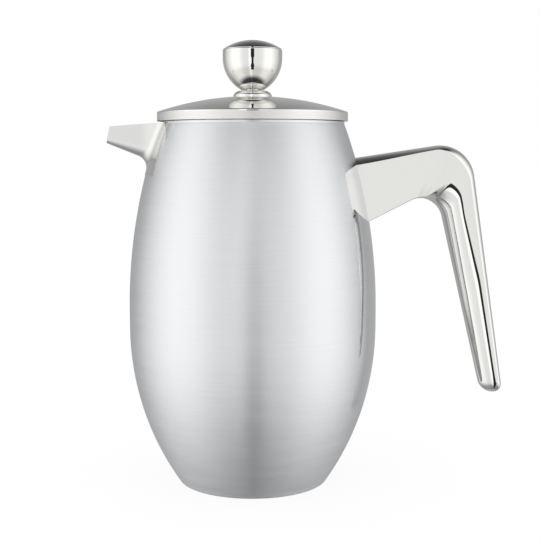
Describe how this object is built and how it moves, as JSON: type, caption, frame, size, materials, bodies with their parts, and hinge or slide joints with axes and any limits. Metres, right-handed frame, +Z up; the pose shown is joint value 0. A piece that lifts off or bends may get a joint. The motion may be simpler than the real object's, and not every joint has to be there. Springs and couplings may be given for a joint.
{
  "type": "french press",
  "caption": "Double-walled steel french press: bulb-shaped brushed vessel with an open spout, cast side handle, domed lid and a knob that presses a filter down.",
  "frame": {"origin": "centre of the flat underside, on the vessel's axis", "axes": "+Z up along the vessel's axis, +X towards the handle, -X towards the spout"},
  "size_m": [0.1506, 0.0938, 0.1674],
  "materials": {
    "brushed_steel": "satin, brushed round the axis",
    "polished_steel": "mirror polished",
    "satin_steel": "plain satin",
    "mesh_steel": "fine woven mesh",
    "spring_steel": "bright drawn wire"
  },
  "bodies": {
    "vessel": {"outer_shell": "brushed_steel", "base_disc": "satin_steel", "inner_liner": "satin_steel", "spout": "polished_steel", "handle": "polished_steel", "handle_patch": "satin_steel"},
    "lid": {"lid_cover": "polished_steel", "lid_plate": "satin_steel", "lid_skirt": "satin_steel", "lid_collar": "polished_steel", "lid_spacer": "polished_steel", "lid_washer": "polished_steel", "lid_nut": "polished_steel"},
    "plunger": {"plunger_rod": "polished_steel", "rod_shoulder": "polished_steel", "spiral_plate": "polished_steel", "edge_spring": "spring_steel", "filter_screen": "mesh_steel"},
    "knob": {"knob": "polished_steel"},
    "bottom_plate": {"cross_plate": "polished_steel", "cross_hub": "polished_steel"}
  },
  "joints": [
    {"name": "lid_lift", "type": "slide", "parent": "vessel", "child": "lid", "axis": [0, 0, 1], "range_m": [0, 0.13]},
    {"name": "plunger_slide", "type": "slide", "parent": "lid", "child": "plunger", "axis": [0, 0, 1], "range_m": [0, 0.087]},
    {"name": "knob_turn", "type": "hinge", "parent": "plunger", "child": "knob", "pos_m": [0, 0, 0.149], "axis": [0, 0, 1], "continuous": true},
    {"name": "bottom_plate_turn", "type": "hinge", "parent": "plunger", "child": "bottom_plate", "pos_m": [0, 0, 0.024], "axis": [0, 0, 1], "continuous": true}
  ]
}
